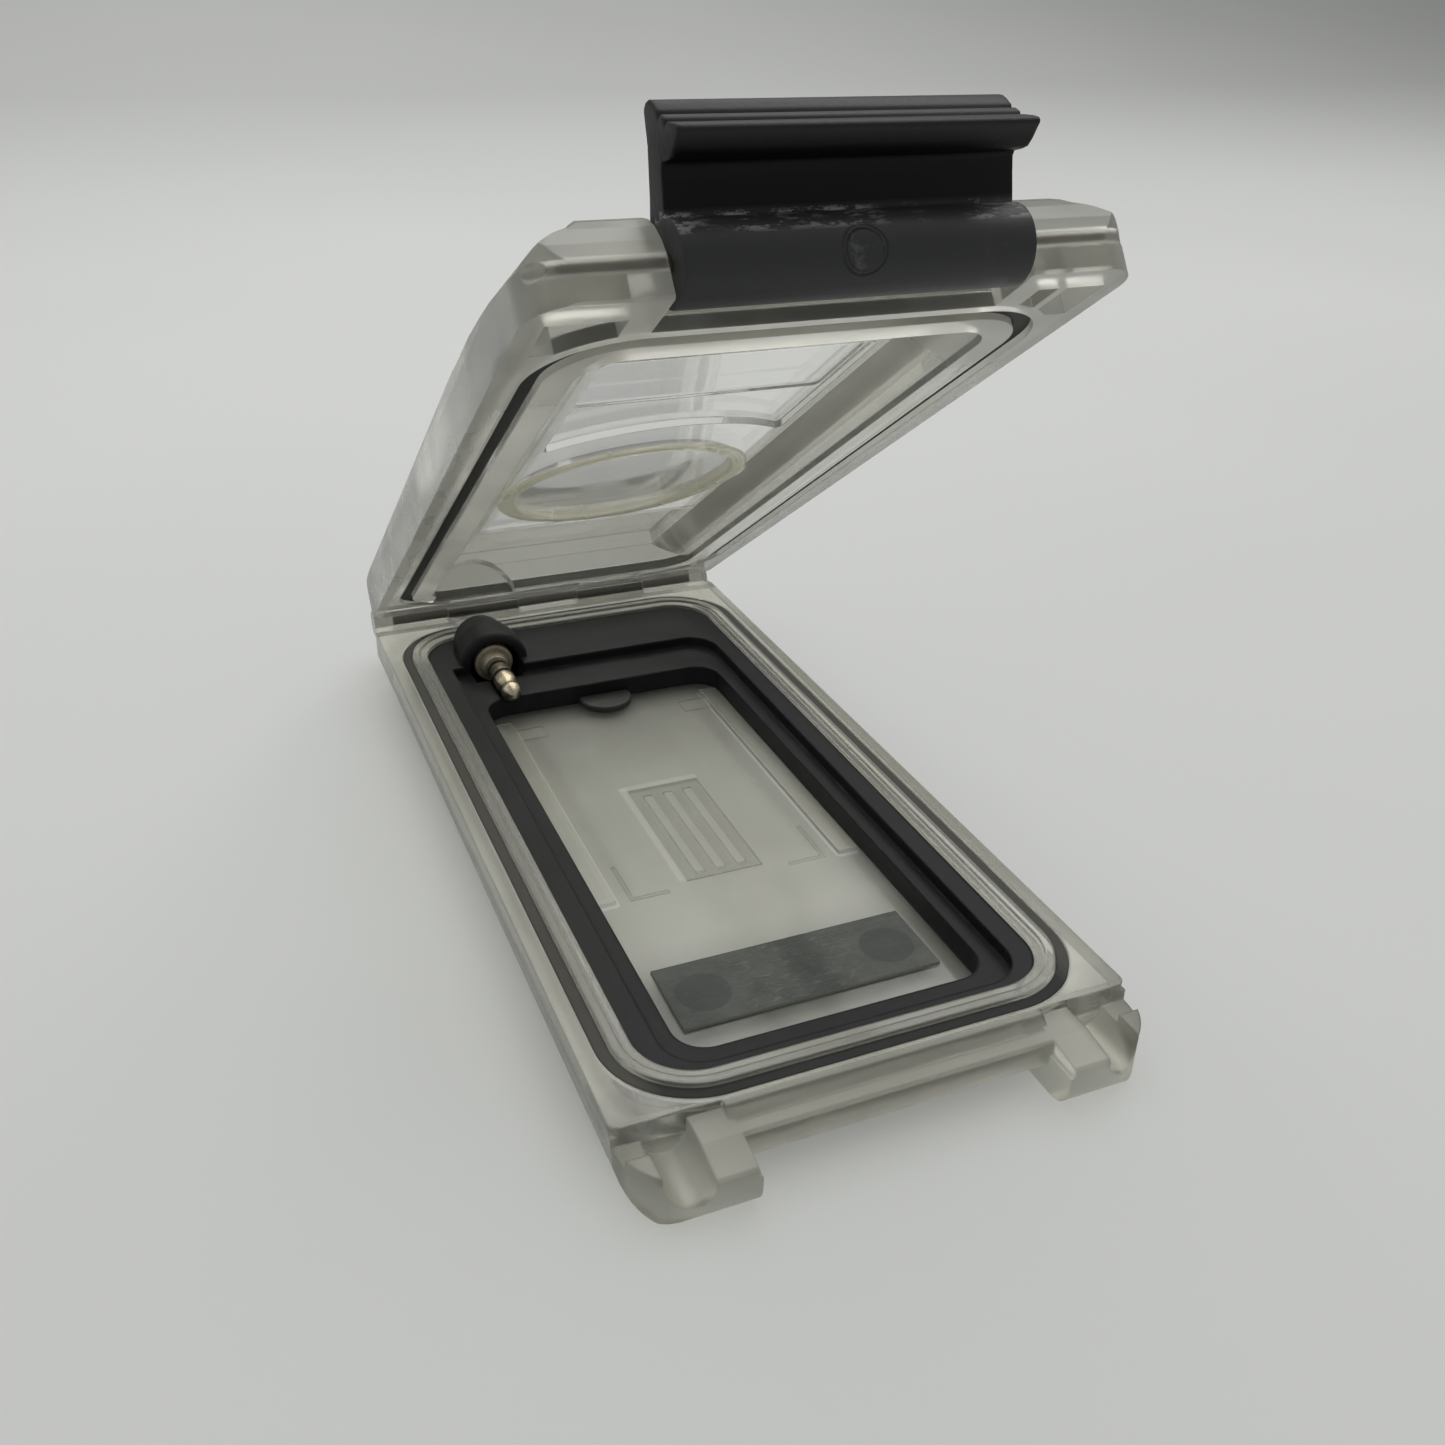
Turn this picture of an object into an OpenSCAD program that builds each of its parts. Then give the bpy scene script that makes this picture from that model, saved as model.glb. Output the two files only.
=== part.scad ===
// Waterproof case for a small music player: two clear hinged shells, a rubber
// tray liner with a headphone plug, gaskets, and a hook latch across the front.
// Millimetres. The case rests on the flat underside of its base, hinge at +Y.

/* [Shells] */
// Width of both shells over their side walls
body_w = 62; // [60:0.5:66]
// Length of both shells without lugs and hinge
body_l = 125.4; // [124:0.2:130]
// Height of the base from its rest face to the parting face
base_h = 7.6; // [7.4:0.1:9]
// Thickness of the wide flange slab at the top of the base
slab_t = 4.5; // [4:0.1:5]
// Height of the lid above the parting face
lid_h = 9.8; // [9.6:0.1:11]
// Height of the lid's upright side wall below its bevel
lid_wall_h = 5.8; // [4.5:0.1:6.5]
// Slit left between the two closed shells
parting_gap = 0.3; // [0.25:0.05:0.4]

/* [Cavity and rim] */
// Inside width of the cavity that holds the liner
cavity_w = 49.8; // [48:0.2:50.6]
// Wall from the front edge of the shells to the cavity
cavity_front = 4.5; // [4.4:0.1:5]
// Wall from the back edge of the shells to the cavity
cavity_back = 7.9; // [7:0.1:9]
// Depth of the cavity floor below the parting face
cavity_d = 5.3; // [5:0.1:5.6]
// Corner radius of the cavity
cavity_r = 7; // [5:0.5:9]
// Width of the raised rim round the cavity
rim_w = 2.4; // [2.2:0.1:2.5]
// Height of the rim above the parting face
rim_h = 0.5; // [0.4:0.1:0.6]

/* [Gaskets] */
// Width of the gasket that lies outside the rim
base_seal_w = 1.4; // [1:0.1:1.6]
// Depth of the groove that holds that gasket
base_seal_d = 1.2; // [0.8:0.1:1.6]
// Width of the gasket in the lid, over the rim
lid_seal_w = 1.9; // [1.7:0.1:2]
// Thickness of the lid's gasket
lid_seal_t = 1.2; // [0.8:0.1:1.4]
// Recess of the lid gasket's face behind the parting face
lid_seal_in = 1; // [0.95:0.05:1.3]

/* [Liner] */
// Drop of the liner's top below the parting face
liner_drop = 0.4; // [0.3:0.1:0.8]
// Depth of the player's ledge below the parting face
ledge_d = 2.1; // [1.8:0.1:2.4]
// Liner beside the ledge, on each side
ledge_side = 3; // [2.4:0.1:3.4]
// Liner beside the opening, on each side
open_side = 5.5; // [5:0.1:6.4]
// Liner behind the ledge, at the plug end
ledge_back = 13; // [12.8:0.1:14]
// Liner behind the opening, at the plug end
open_back = 20.8; // [20.4:0.1:22]
// Liner in front of the ledge
ledge_front = 1.5; // [1.2:0.1:2]
// Liner in front of the opening
open_front = 5.2; // [5:0.1:6]

/* [Headphone plug] */
// Radius of the plug's contacts
plug_r = 1.75; // [1.7:0.05:1.8]
// Length of the plug from its collar to its tip
plug_l = 14.2; // [13.5:0.1:14.5]
// Radius of the plug's collar
collar_r = 3.25; // [2.8:0.05:3.3]
// Distance of the plug's axis from the side of the cavity
plug_in = 10.1; // [9.8:0.1:10.8]
// Drop of the plug's axis below the parting face
plug_drop = 0.9; // [0.7:0.1:1]
// Radius of the rubber boss round the plug
boss_r = 5.7; // [5:0.1:5.8]

/* [Hinge] */
// Radius of the hinge knuckles
knuckle_r = 2.1; // [1.9:0.05:2.2]
// Radius of the hinge pin
hinge_pin_r = 0.9; // [0.8:0.05:1]
// Opening of the lid in the rest pose, degrees
lid_open = 34.1; // [20:0.1:60]
// Gap between neighbouring knuckles
knuckle_gap = 0.2; // [0.15:0.05:0.3]

/* [Latch] */
// Width of the latch between the lid's lugs
latch_w = 34.9; // [34:0.1:35.1]
// Radius of the latch's barrel
barrel_r = 3.8; // [3.5:0.1:4]
// Radius of the latch pin
latch_pin_r = 0.8; // [0.7:0.05:0.85]
// Distance from the front of the shells to the latch pin
latch_reach = 6; // [5.9:0.1:6.3]
// Height of the latch pin above the parting face
latch_rise = 3.9; // [3.9:0.1:4.2]
// Height of the latch's plate over its pin
plate_l = 12.6; // [12.4:0.1:13]
// Thickness of the latch's plate
plate_t = 3.3; // [3:0.1:3.4]
// Overhang of the hook lip from the plate
lip_l = 3.5; // [3.4:0.1:3.8]

/* [Lugs] */
// Gap between the latch and the lug on each side of it
latch_gap = 0.6; // [0.5:0.1:0.8]
// Reach of the base lugs in front of the shells
base_lug_reach = 8.4; // [8.2:0.1:8.6]
// Drop of the front ledge and tongues below the parting face
step_d = 1; // [0.8:0.1:1.3]
// Reach of the front rail in front of the shells
rail_reach = 4.3; // [4:0.1:4.6]

/* [Window and wheel] */
// Radius of the thin round membrane over the player's wheel
wheel_r = 16.4; // [15.5:0.1:16.8]
// Distance of the membrane's centre behind the middle of the case
wheel_y = 8.3; // [8:0.1:9]
// Width of the display window
window_w = 32.6; // [30:0.2:33.4]
// Height of the panel's inner face above the parting face
panel_z = 4.8; // [4.6:0.1:5]
// Thickness of the membrane
membrane_t = 0.5; // [0.4:0.1:0.6]

/* [Hidden] */

$fn = 48;
eps = 0.02;
clear_col = [0.86, 0.87, 0.84, 0.45];
rubber_col = [0.17, 0.175, 0.185];
seal_col = [0.24, 0.24, 0.245];
steel_col = [0.55, 0.52, 0.47];
nickel_col = [0.72, 0.68, 0.58];
latch_col = [0.10, 0.105, 0.115];
pad_col = [0.42, 0.43, 0.43];

half_w = body_w / 2;
front_y = -body_l / 2;
back_y = body_l / 2;
part_z = base_h;
slab_z = base_h - slab_t;
shell_r = 1.2;

cav_half = cavity_w / 2;
ledge_w = cavity_w - 2 * ledge_side;
open_w = cavity_w - 2 * open_side;
plug_x = plug_in - cav_half;
cav_y0 = front_y + cavity_front;
cav_y1 = back_y - cavity_back;
floor_z = part_z - cavity_d;

// Underside tub below the slab
tub_in_side = 3.4;
tub_in_end = 3;
tub_taper = 2;
tub_r = 6;

window_in = 20.3;
window_y0 = front_y + window_in;
arch_r = 25.8;
ring_w = 1.6;

seal_gap = 0.1;
seal_in = cav_half + rim_w + seal_gap;

lid_groove_in = 1;
lid_groove_out = lid_groove_in + lid_seal_w + 2 * seal_gap;
ridge_w = 2.3;

hinge_y = back_y + knuckle_r + 0.25;
hinge_z = part_z;
pin_fit = 0.05;
knuckle_ends = [half_w * 0.177, half_w * 0.58, half_w - 0.3];
pin_half = half_w - 3.5;

latch_y = front_y - latch_reach;
latch_z = part_z + latch_rise;
latch_deg = lid_open;
latch_front = 1.5;
latch_pin_half = half_w - 4;

lug_x0 = latch_w / 2 + latch_gap;
lug_w = half_w - lug_x0;
base_lug_r = 8.3;
lid_lug_r = 5;
lid_lug_reach = latch_reach + 2 * latch_pin_r;
lug_floor = slab_t;
tongue_x1 = lug_x0 + 4.9;
horn_x0 = half_w - 3.1;
channel_r = (horn_x0 - tongue_x1) / 2;
channel_deep = 4.8;
pocket_x0 = lug_x0 + 3;
pocket_x1 = half_w - 2.3;
horn_drop = 1.3;
horn_y = front_y - 3;
lug_edge_r = 3;
lug_side_r = 3.6;
corner_w = 6.6;
corner_h = 5.2;
corner_turn = 9;
corner_y = front_y - 2;

plug_z = part_z - plug_drop;
plug_face = cav_y1 - 8.8;
collar_t = 1.2;
ins_t = 0.8;
tip_len = 6;
ring_len = 3.4;
tip_y = plug_face - plug_l;
ins1_y = tip_y + tip_len;
ring_y = ins1_y + ins_t;
ins2_y = ring_y + ring_len;
sleeve_y = ins2_y + ins_t;
core_r = 0.9;
neck_r = 2.5;
boss_back_r = 4.3;
boss_recess = 4.1;
boss_face = plug_face - 2.4;

socket_r = 2.5;
socket_bore = 1.8;
socket_z = socket_r + 0.4;
socket_l = cavity_back - 1;

open_y0 = cav_y0 + open_front;
open_y1 = cav_y1 - open_back;
strip_w = open_w - 5.4;
strip_y0 = open_y0 + 6.7;
strip_y1 = strip_y0 + 11.1;
strip_t = 0.4;
dot_x = strip_w / 2 - 4.5;
dot_y = strip_y0 + 5.3;
dot_r = 3.4;
mark_y = strip_y1 + 14.6;
recess_l = 24;
recess_d = 0.5;
bar_w = 1.3;
bung_x = 0.6;
bung_r = 4.2;
bung_t = 0.8;

// Plate with rounded corners, given by its half width, ends, radius and height
module plate(hw, y0, y1, r, z0, z1) {
    translate([-hw + r, y0, z0]) cube([2 * (hw - r), y1 - y0, z1 - z0]);
    translate([-hw, y0 + r, z0]) cube([2 * hw, y1 - y0 - 2 * r, z1 - z0]);
    for (x = [-hw + r, hw - r], y = [y0 + r, y1 - r])
        translate([x, y, z0]) cylinder(r = r, h = z1 - z0);
}

// Plate that follows the cavity's outline at a distance outside it
module cavity_plate(out, z0, z1) {
    plate(cav_half + out, cav_y0 - out, cav_y1 + out, cavity_r + out, z0, z1);
}

// Ring between two distances outside the cavity's outline
module cavity_ring(out0, out1, z0, z1) {
    difference() {
        cavity_plate(out1, z0, z1);
        cavity_plate(out0, z0 - 1, z1 + 1);
    }
}

// Bar along X with a section drawn in Y and Z
module x_bar(x0, x1) {
    translate([x0, 0, 0]) rotate([90, 0, 90]) linear_extrude(x1 - x0) children();
}

// Rod along Y between two places, from a profile of radius and length
module y_rod(x, y, z) {
    translate([x, y, z]) rotate([-90, 0, 0]) rotate_extrude() children();
}

module both_sides() {
    children();
    mirror([1, 0, 0]) children();
}

// Turns a lid part from the closed pose to the rest pose
module in_lid_pose() {
    translate([0, hinge_y, hinge_z]) rotate([-lid_open, 0, 0])
        translate([0, -hinge_y, -hinge_z]) children();
}

// Plan outline of one lug, with its outer front corner rounded
module lug_plan(reach, r, z0, z1) {
    y0 = front_y - reach;
    translate([lug_x0, y0, z0]) cube([lug_w - r, reach + 3, z1 - z0]);
    translate([lug_x0, y0 + r, z0]) cube([lug_w, reach + 3 - r, z1 - z0]);
    translate([half_w - r, y0 + r, z0]) cylinder(r = r, h = z1 - z0);
}

// Tub under the slab, tapered on all four sides
module tub() {
    hw = half_w - tub_in_side;
    hl = body_l / 2 - tub_in_end;
    intersection() {
        plate(hw, -hl, hl, tub_r, 0, slab_z + eps);
        rotate([90, 0, 0]) linear_extrude(body_l, center = true)
            polygon([[-hw, slab_z + eps], [-hw, slab_z - 0.6], [-hw + tub_taper, 0],
                [hw - tub_taper, 0], [hw, slab_z - 0.6], [hw, slab_z + eps]]);
        x_bar(-body_w, body_w)
            polygon([[-hl, slab_z + eps], [-hl, slab_z - 0.6], [-hl + tub_taper, 0],
                [hl - tub_taper, 0], [hl, slab_z - 0.6], [hl, slab_z + eps]]);
    }
}

// Front rail that the latch hooks under, with its groove and ledge
module rail() {
    y0 = front_y + 1;
    x_bar(-lug_x0 - 1, lug_x0 + 1)
        polygon([[y0, slab_z], [y0, part_z], [front_y - 0.9, part_z],
            [front_y - 2.2, part_z - step_d - 0.3], [front_y - 2.5, part_z - step_d],
            [front_y - rail_reach + 0.3, part_z - step_d],
            [front_y - rail_reach, part_z - step_d - 0.3],
            [front_y - rail_reach, slab_z + 0.4], [front_y - rail_reach + 0.4, slab_z]]);
}

// Section of the base lug below its steps, with a rounded front foot
module lug_section(top) {
    lug_y = front_y - base_lug_reach;
    polygon(concat([[front_y + 3, top], [front_y + 3, 0]],
        [for (a = [0:15:90]) [lug_y + lug_edge_r - lug_edge_r * sin(a),
            lug_edge_r - lug_edge_r * cos(a)]],
        [[lug_y, top - 1], [lug_y + 0.3, top - 0.7], [lug_y + 4.4, top]]));
}

// Outer foot of a lug is rounded along its length as well
module lug_side_round() {
    r = lug_side_r;
    rotate([90, 0, 0]) translate([0, 0, -front_y - 4]) linear_extrude(base_lug_reach + 6)
        polygon(concat([[0, part_z], [0, 0]],
            [for (a = [0:10:90]) [half_w - r + r * sin(a), r - r * cos(a)]],
            [[half_w, part_z]]));
}

// Round-bottomed channel between a lug's inner tongue and its outer horn
module channel() {
    y0 = front_y - body_w;
    zc = part_z - channel_deep + channel_r;
    translate([tongue_x1 + channel_r, front_y, zc]) rotate([90, 0, 0])
        cylinder(r = channel_r, h = body_w);
    translate([tongue_x1, y0, zc]) cube([2 * channel_r, body_w, channel_deep]);
}

// One corner lug of the base: inner tongue, channel and outer horn
module base_lug() {
    intersection() {
        lug_plan(base_lug_reach, base_lug_r, 0, part_z);
        lug_side_round();
        difference() {
            x_bar(lug_x0, half_w) lug_section(part_z - step_d);
            channel();
            translate([lug_x0 - 1, front_y - body_w, part_z - lug_edge_r])
                cube([1.4, body_w, lug_edge_r]);
            translate([tongue_x1, front_y - body_w, part_z - horn_drop])
                cube([lug_w, body_w, horn_drop]);
            translate([tongue_x1, horn_y, part_z - channel_deep / 2])
                cube([lug_w, front_y - horn_y, channel_deep]);
        }
    }
}

// Three knuckles on the base, two on the lid
module knuckles(ranges, below) {
    for (s = ranges) {
        translate([s[0], hinge_y, hinge_z]) rotate([0, 90, 0])
            cylinder(r = knuckle_r, h = s[1] - s[0]);
        z0 = below ? hinge_z - knuckle_r : hinge_z + parting_gap;
        translate([s[0], back_y - 1, z0])
            cube([s[1] - s[0], hinge_y - back_y + 1, knuckle_r - (below ? 0 : parting_gap)]);
    }
}

module hinge_bore(r, half) {
    translate([-half, hinge_y, hinge_z]) rotate([0, 90, 0]) cylinder(r = r, h = 2 * half);
}

// Floor of the tray: side pads, recessed panel with bars, pad corner marks
module floor_relief() {
    pad_h = 0.6;
    pad_x = open_w / 2 - 3.4;
    both_sides() {
        translate([pad_x, mark_y, floor_z - eps]) cube([2.8, open_y1 - 3.5 - mark_y, pad_h]);
        translate([pad_x - 4.5, open_y1 - 9, floor_z - eps]) cube([7.3, 3.2, pad_h / 2]);
        translate([pad_x - 7.4, mark_y, floor_z - eps]) cube([5.4, 0.5, 0.2]);
        translate([pad_x - 2.5, mark_y, floor_z - eps]) cube([0.5, 8, 0.2]);
    }
}

module floor_recess() {
    w = open_w * 0.28;
    y0 = mark_y + 1.8;
    difference() {
        translate([-w / 2, y0, floor_z - recess_d]) cube([w, recess_l, recess_d + eps]);
        for (i = [-1, 0, 1]) translate([i * w / 3.6 - bar_w / 2, y0 + 1.4, floor_z - 1])
            cube([bar_w, recess_l - 3.4, 1]);
    }
}

module base_shell() {
    color(clear_col) difference() {
        union() {
            plate(half_w, front_y, back_y, shell_r, slab_z, part_z);
            tub();
            cavity_ring(0, rim_w - 1, part_z - 1, part_z + 0.12);
            cavity_ring(rim_w - 1.2, rim_w - 0.1, part_z - 1, part_z + rim_h);
            rail();
            both_sides() base_lug();
            knuckles([[-knuckle_ends[2], -knuckle_ends[1] - knuckle_gap / 2],
                [-knuckle_ends[0] + knuckle_gap / 2, knuckle_ends[0] - knuckle_gap / 2],
                [knuckle_ends[1] + knuckle_gap / 2, knuckle_ends[2]]], true);
        }
        difference() {
            cavity_plate(0, floor_z, part_z + 2);
            floor_relief();
        }
        floor_recess();
        cavity_ring(rim_w, rim_w + base_seal_w + 2 * seal_gap, part_z - base_seal_d, part_z + 2);
        hinge_bore(hinge_pin_r + pin_fit, pin_half);
        translate([plug_x, back_y + 1, socket_z]) rotate([90, 0, 0])
            cylinder(r = socket_r + pin_fit, h = socket_l + 2);
    }
}

// Outer body of the lid in its closed pose, with bevelled top edges
module lid_block() {
    z0 = part_z + parting_gap;
    z1 = part_z + lid_h;
    zw = part_z + lid_wall_h;
    h = z1 - zw;
    side = [[0, z0], [0, zw], [0.25, zw + h * 0.35], [0.9, zw + h * 0.7], [1.8, zw + h * 0.92],
        [2.8, z1]];
    intersection() {
        plate(half_w, front_y, back_y, shell_r, z0, z1);
        rotate([90, 0, 0]) linear_extrude(body_l + 2, center = true)
            polygon(concat([for (p = side) [-half_w + p[0], p[1]]],
                [for (i = [5:-1:0]) [half_w - side[i][0], side[i][1]]]));
        x_bar(-body_w, body_w)
            polygon(concat([[front_y, z0], [front_y, z1 - 1.5], [front_y + 1.5, z1]],
                [for (i = [5:-1:0]) [back_y - side[i][0], side[i][1]]]));
    }
}

// One lug of the lid: upright front, rounded over to the lid's top
module lid_lug() {
    z0 = part_z + parting_gap;
    z1 = part_z + lid_h;
    y0 = front_y - lid_lug_reach;
    intersection() {
        lug_plan(lid_lug_reach, lid_lug_r, z0, z1);
        x_bar(lug_x0, half_w)
            polygon([[front_y + 3, z0], [front_y + 3, z1], [front_y - 0.5, z1],
                [front_y - 2, z1 - 0.1], [y0 + 4, z1 - 0.45], [y0 + 2.7, z1 - 1.2],
                [y0 + 1.6, z1 - 2.3], [y0 + 0.6, z1 - 4], [y0 + 0.1, z1 - 5.5], [y0, z0 + 0.3],
                [y0 + 0.3, z0]]);
    }
}

// Cut that rounds a front corner of the lid over, more and more towards its lug
module corner_cut() {
    z0 = part_z + lid_h - corner_h;
    translate([half_w, corner_y, 0]) rotate([0, 0, -corner_turn])
        translate([0, body_w / 2, 0]) rotate([90, 0, 0]) linear_extrude(body_w)
            polygon(concat([for (q = [[0, 0], [0.06, 0.12], [0.16, 0.25], [0.3, 0.38], [0.46, 0.5],
                [0.62, 0.58], [0.76, 0.65], [0.87, 0.76], [0.95, 0.88], [1, 1.02]])
                [-corner_w * q[0], z0 + corner_h * q[1]]],
                [[-corner_w, z0 + 2 * corner_h], [corner_w, z0 + 2 * corner_h], [corner_w, z0]]));
}

// Pocket in the parting face of a lug, following the lid gasket's corner
module lug_pocket() {
    difference() {
        translate([pocket_x0, front_y - 3.4, part_z]) cube([pocket_x1 - pocket_x0, 7, 4.2]);
        cavity_plate(lid_groove_out + 1.4, part_z - 1, part_z + 6);
    }
}

// Hollow of the lid: slopes from the ridge to the panel, deeper at the plug end
module lid_hollow() {
    hw = cav_half - ridge_w;
    y0 = cav_y0 + ridge_w;
    y1 = cav_y1 - ridge_w;
    zt = part_z + panel_z;
    slope = 5;
    intersection() {
        plate(hw, y0, y1, cavity_r - ridge_w, part_z - 1, zt);
        rotate([90, 0, 0]) linear_extrude(body_l, center = true)
            polygon([[-hw, part_z - 1], [-hw, part_z + 1.2], [-hw + slope, zt],
                [hw - slope, zt], [hw, part_z + 1.2], [hw, part_z - 1]]);
    }
    y2 = open_y1 - 6;
    translate([-hw + slope, y2, part_z + 1]) cube([2 * (hw - slope), y1 - y2 - 0.5, 6.2]);
    translate([plug_x, y2, plug_z]) rotate([-90, 0, 0])
        cylinder(r = boss_r + 1.3, h = cav_y1 + 0.3 - y2);
}

// Window recess: straight sides, and an arched end concentric with the wheel
module window_recess() {
    difference() {
        plate(window_w / 2, window_y0, wheel_y - window_in, 1.2, part_z + panel_z - eps,
            part_z + panel_z + 0.9);
        translate([0, wheel_y, part_z]) cylinder(r = arch_r, h = lid_h, $fn = 96);
    }
    plate(window_w / 2 - 0.4, window_y0 + 0.4, window_y0 + 16.4, 1, part_z + panel_z,
        part_z + panel_z + 1.2);
}

module lid_closed() {
    difference() {
        union() {
            lid_block();
            both_sides() lid_lug();
            knuckles([[-knuckle_ends[1] + knuckle_gap / 2, -knuckle_ends[0] - knuckle_gap / 2],
                [knuckle_ends[0] + knuckle_gap / 2, knuckle_ends[1] - knuckle_gap / 2]], false);
        }
        both_sides() corner_cut();
        lid_hollow();
        window_recess();
        cavity_ring(lid_groove_in, lid_groove_out, part_z - 1,
            part_z + lid_seal_in + lid_seal_t);
        difference() {
            lug_pocket();
            translate([pocket_x0 + 2.3, front_y - 4, part_z]) cube([1, 6, 6]);
        }
        mirror([1, 0, 0]) lug_pocket();
        translate([0, wheel_y, part_z]) cylinder(r = wheel_r + 0.05, h = lid_h + 1, $fn = 96);
        translate([0, wheel_y, part_z - 1]) cylinder(r = wheel_r + ring_w + 0.1, h = panel_z + 1,
            $fn = 96);
        hinge_bore(hinge_pin_r + pin_fit, pin_half);
        translate([-half_w, latch_y, latch_z]) rotate([0, 90, 0])
            cylinder(r = latch_pin_r + pin_fit, h = body_w);
    }
}

module lid_shell() {
    color(clear_col) in_lid_pose() lid_closed();
}

module base_seal() {
    color(seal_col) cavity_ring(rim_w + seal_gap, rim_w + seal_gap + base_seal_w,
        part_z - base_seal_d, part_z - 0.05);
}

module lid_seal() {
    color(seal_col) in_lid_pose()
        cavity_ring(lid_groove_in + seal_gap, lid_groove_in + seal_gap + lid_seal_w,
            part_z + lid_seal_in, part_z + lid_seal_in + lid_seal_t);
}

// Boss profile: flat face, rounded shoulder, thinner at the back
module boss_profile() {
    l = cav_y1 - boss_face;
    polygon(concat([[0, 0]], [for (a = [0:15:90]) [boss_r - 1 + sin(a), 1 - cos(a)]],
        [[boss_r - 0.2, l * 0.5], [boss_back_r, l], [0, l]]));
}

module liner() {
    top = part_z - liner_drop;
    fit = 0.05;
    color(rubber_col) difference() {
        union() {
            cavity_plate(-fit, floor_z, top);
            intersection() {
                y_rod(plug_x, boss_face, plug_z) boss_profile();
                translate([-half_w, 0, floor_z]) cube([body_w, cav_y1 - fit, 20]);
            }
        }
        plate(ledge_w / 2, cav_y0 + ledge_front, cav_y1 - ledge_back, cavity_r - 2,
            part_z - ledge_d, part_z + 1);
        plate(open_w / 2, open_y0, open_y1, cavity_r - 3,
            floor_z - 1, part_z + 1);
        translate([-ledge_w / 2, cav_y1 - ledge_back - 3, part_z - ledge_d])
            cube([plug_x + ledge_w / 2 + boss_r - 1.4, boss_face - cav_y1 + ledge_back + 3, ledge_d]);
        translate([plug_x, cav_y1 - ledge_back - 1, plug_z]) rotate([-90, 0, 0])
            cylinder(r = boss_recess, h = plug_face + 1 - cav_y1 + ledge_back + 1);
        translate([plug_x, plug_face, plug_z]) rotate([-90, 0, 0])
            cylinder(r = collar_r + fit, h = collar_t + 1.2);
        translate([plug_x, plug_face, plug_z]) rotate([-90, 0, 0])
            cylinder(r = plug_r + fit, h = cav_y1 - plug_face + 1);
        translate([plug_x, tip_y - 2, plug_z]) rotate([-90, 0, 0])
            cylinder(r = plug_r + 0.35, h = plug_l + 2.1);
        translate([bung_x, open_y1 + 1, floor_z - 1])
            cylinder(r = bung_r + 0.1, h = 1 + bung_t + 0.1);
    }
}

module plug_collar() {
    color(nickel_col) y_rod(plug_x, plug_face, plug_z)
        polygon([[plug_r, 0], [neck_r, collar_t * 0.6], [collar_r - 0.3, collar_t * 0.6],
            [collar_r, collar_t * 0.6 + 0.3], [collar_r, collar_t + 1.2], [plug_r, collar_t + 1.2]]);
}

module plug_sleeve() {
    l = cav_y1 - sleeve_y - 0.1;
    color(nickel_col) y_rod(plug_x, sleeve_y, plug_z)
        polygon([[0, 0], [plug_r - 0.02, 0], [plug_r - 0.02, l], [0, l]]);
}

module plug_ring() {
    color(nickel_col) y_rod(plug_x, ring_y, plug_z)
        polygon([[core_r, 0], [plug_r, 0], [plug_r, ring_len], [core_r, ring_len]]);
}

module plug_tip() {
    l = ins2_y + ins_t - tip_y;
    color(nickel_col) y_rod(plug_x, tip_y, plug_z)
        polygon([[0, 0], [0.45, 0], [1.6, 1.7], [1.65, 2.1], [1.2, 3.2], [plug_r, 4.6],
            [plug_r, tip_len], [core_r, tip_len], [core_r, l], [0, l]]);
}

module plug_insulators() {
    color([0.05, 0.05, 0.05]) for (y = [ins1_y, ins2_y]) y_rod(plug_x, y, plug_z)
        polygon([[core_r, 0], [plug_r - 0.05, 0], [plug_r - 0.05, ins_t], [core_r, ins_t]]);
}

module output_socket() {
    color(latch_col) y_rod(plug_x, back_y - socket_l, socket_z)
        polygon([[0, 0], [socket_r, 0], [socket_r, socket_l - 0.2], [socket_bore, socket_l - 0.2],
            [socket_bore, 1], [0, 1]]);
}

module floor_strip() {
    color(pad_col) difference() {
        translate([-strip_w / 2, strip_y0, floor_z]) cube([strip_w, strip_y1 - strip_y0, strip_t]);
        for (x = [-dot_x, dot_x]) translate([x, dot_y, floor_z - 1]) cylinder(r = dot_r, h = 2);
    }
}

module strip_dots() {
    color(seal_col) for (x = [-dot_x, dot_x])
        translate([x, dot_y, floor_z]) cylinder(r = dot_r, h = strip_t);
}

module floor_bung() {
    color(rubber_col) translate([bung_x, open_y1 + 1, floor_z])
        cylinder(r = bung_r, h = bung_t);
}

module wheel_membrane() {
    color(clear_col) in_lid_pose() translate([0, wheel_y, part_z + panel_z + 0.6])
        cylinder(r = wheel_r, h = membrane_t, $fn = 96);
}

module membrane_ring() {
    color([0.8, 0.79, 0.68, 0.7]) in_lid_pose() translate([0, wheel_y, part_z + panel_z])
        rotate_extrude($fn = 96)
            polygon([[wheel_r - 0.9, 0.6], [wheel_r - 0.9, 0.1], [wheel_r - 0.4, -0.4],
                [wheel_r + ring_w - 0.4, -0.4], [wheel_r + ring_w, 0], [wheel_r, 0], [wheel_r, 0.6]]);
}

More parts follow.
